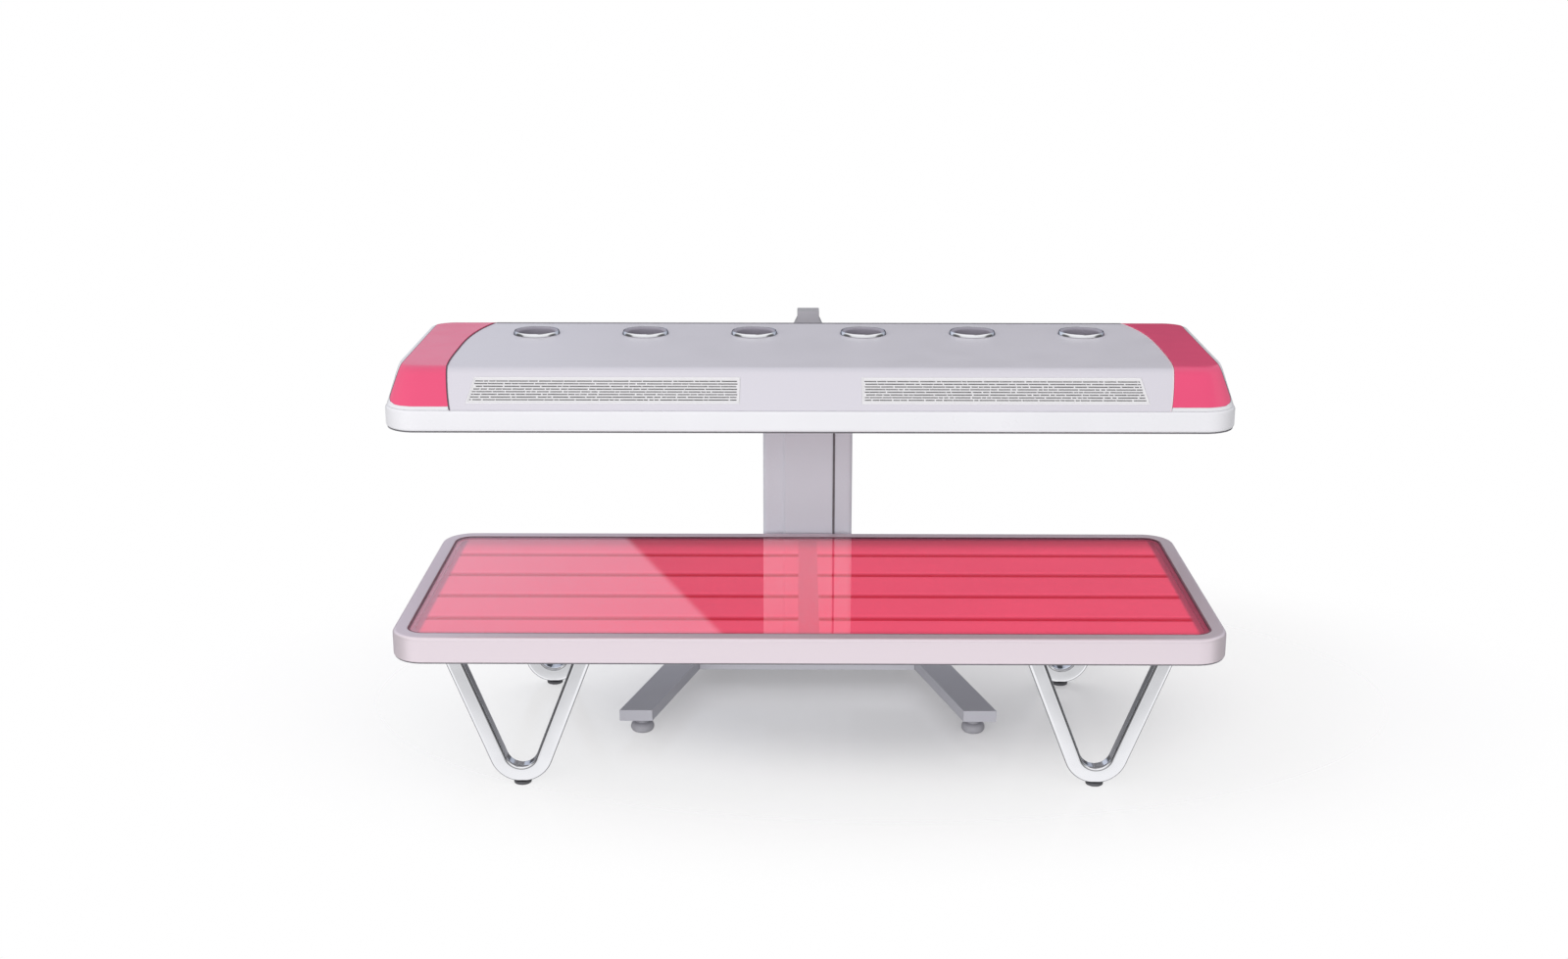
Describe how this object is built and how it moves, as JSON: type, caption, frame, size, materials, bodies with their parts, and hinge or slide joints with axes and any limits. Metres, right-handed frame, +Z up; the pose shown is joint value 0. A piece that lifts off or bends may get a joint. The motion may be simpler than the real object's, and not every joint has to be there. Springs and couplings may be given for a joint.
{
  "type": "light therapy bed",
  "caption": "Low bench with a clear top over red lamp panels on bent tube legs, under a fan-cooled lamp canopy that lifts on a column stand behind it.",
  "frame": {"origin": "on the floor, below the middle of the whole object's box", "axes": "+X along the bed to the user's right, -Y towards the user, +Z up"},
  "size_m": [2, 1.02, 1.034],
  "materials": {
    "silver_frame": "satin silver anodised",
    "clear_sheet": "clear polished acrylic",
    "dark_rubber": "matt dark rubber",
    "zinc_sheet": "zinc plated sheet",
    "lamp_panel": "lit red lamp strips",
    "driver_case": "plain aluminium case",
    "chrome_tube": "polished chrome",
    "chrome_ring": "polished chrome",
    "grey_paint": "satin grey powder coat",
    "grey_foot": "grey zinc",
    "dark_plastic": "matt moulded",
    "bright_steel": "ground steel",
    "bracket_paint": "satin grey powder coat",
    "white_gloss": "white gloss",
    "silver_cover": "silver lacquer",
    "pink_gloss": "pink red gloss"
  },
  "bodies": {
    "bed": {"bench_frame": "silver_frame", "bench_glass_seal": "dark_rubber", "bench_glass": "clear_sheet", "bench_pan": "zinc_sheet", "bench_led_panel_left": "lamp_panel", "bench_led_panel_right": "lamp_panel", "bench_centre_rail": "lamp_panel", "bench_cross_rail_left": "zinc_sheet", "bench_cross_rail_right": "zinc_sheet", "bench_led_driver": "driver_case", "bench_leg_front_left": "chrome_tube", "bench_leg_front_right": "chrome_tube", "bench_leg_rear_left": "chrome_tube", "bench_leg_rear_right": "chrome_tube", "bench_foot_front_left": "dark_rubber", "bench_foot_front_right": "dark_rubber", "bench_foot_rear_left": "dark_rubber", "bench_foot_rear_right": "dark_rubber", "base_leg_left": "grey_paint", "base_leg_right": "grey_paint", "base_crossbeam": "grey_paint", "column_profile": "grey_paint", "column_front_strip": "grey_paint", "column_collar": "dark_plastic", "lift_actuator": "dark_plastic", "mains_inlet": "dark_plastic", "switch_frame": "dark_plastic"},
    "lift": {"lift_mast": "silver_frame", "mast_guide_shoe": "dark_plastic", "actuator_rod": "bright_steel", "canopy_bracket": "bracket_paint", "canopy_tray": "white_gloss", "canopy_cover": "silver_cover", "canopy_end_left": "pink_gloss", "canopy_end_right": "pink_gloss", "vent_grille_left": "silver_cover", "vent_grille_right": "silver_cover", "fan_deck": "zinc_sheet", "fan_ring_1": "chrome_ring", "fan_ring_2": "chrome_ring", "fan_ring_3": "chrome_ring", "fan_ring_4": "chrome_ring", "fan_ring_5": "chrome_ring", "fan_ring_6": "chrome_ring", "canopy_diffuser_seal": "dark_rubber", "canopy_diffuser": "clear_sheet", "canopy_led_panel_left": "lamp_panel", "canopy_led_panel_right": "lamp_panel", "canopy_led_driver": "driver_case"},
    "fan_1": {"fan_rotor_1": "dark_plastic"},
    "fan_2": {"fan_rotor_2": "dark_plastic"},
    "fan_3": {"fan_rotor_3": "dark_plastic"},
    "fan_4": {"fan_rotor_4": "dark_plastic"},
    "fan_5": {"fan_rotor_5": "dark_plastic"},
    "fan_6": {"fan_rotor_6": "dark_plastic"},
    "rocker": {"power_rocker": "dark_plastic"},
    "leveller_front_left": {"levelling_foot_front_left": "grey_foot"},
    "leveller_front_right": {"levelling_foot_front_right": "grey_foot"},
    "leveller_rear_left": {"levelling_foot_rear_left": "grey_foot"},
    "leveller_rear_right": {"levelling_foot_rear_right": "grey_foot"}
  },
  "joints": [
    {"name": "canopy_lift", "type": "slide", "parent": "bed", "child": "lift", "axis": [0, 0, 1], "range_m": [-0.15, 0.25]},
    {"name": "fan_spin_1", "type": "hinge", "parent": "lift", "child": "fan_1", "pos_m": [-0.6975, 0.073, 0.999], "axis": [0, 0, 1], "continuous": true},
    {"name": "fan_spin_2", "type": "hinge", "parent": "lift", "child": "fan_2", "pos_m": [-0.4185, 0.073, 0.999], "axis": [0, 0, 1], "continuous": true},
    {"name": "fan_spin_3", "type": "hinge", "parent": "lift", "child": "fan_3", "pos_m": [-0.1395, 0.073, 0.999], "axis": [0, 0, 1], "continuous": true},
    {"name": "fan_spin_4", "type": "hinge", "parent": "lift", "child": "fan_4", "pos_m": [0.1395, 0.073, 0.999], "axis": [0, 0, 1], "continuous": true},
    {"name": "fan_spin_5", "type": "hinge", "parent": "lift", "child": "fan_5", "pos_m": [0.4185, 0.073, 0.999], "axis": [0, 0, 1], "continuous": true},
    {"name": "fan_spin_6", "type": "hinge", "parent": "lift", "child": "fan_6", "pos_m": [0.6975, 0.073, 0.999], "axis": [0, 0, 1], "continuous": true},
    {"name": "power_switch", "type": "hinge", "parent": "bed", "child": "rocker", "pos_m": [0.045, 0.4826, 0.12], "axis": [1, 0, 0], "range_deg": [-6, 6]},
    {"name": "leveller_turn_front_left", "type": "hinge", "parent": "bed", "child": "leveller_front_left", "pos_m": [-0.4329, -0.093, 0.02], "axis": [0, 0, 1], "continuous": true},
    {"name": "leveller_turn_front_right", "type": "hinge", "parent": "bed", "child": "leveller_front_right", "pos_m": [0.4329, -0.093, 0.02], "axis": [0, 0, 1], "continuous": true},
    {"name": "leveller_turn_rear_left", "type": "hinge", "parent": "bed", "child": "leveller_rear_left", "pos_m": [-0.27423, 0.464, 0.02], "axis": [0, 0, 1], "continuous": true},
    {"name": "leveller_turn_rear_right", "type": "hinge", "parent": "bed", "child": "leveller_rear_right", "pos_m": [0.27423, 0.464, 0.02], "axis": [0, 0, 1], "continuous": true}
  ]
}
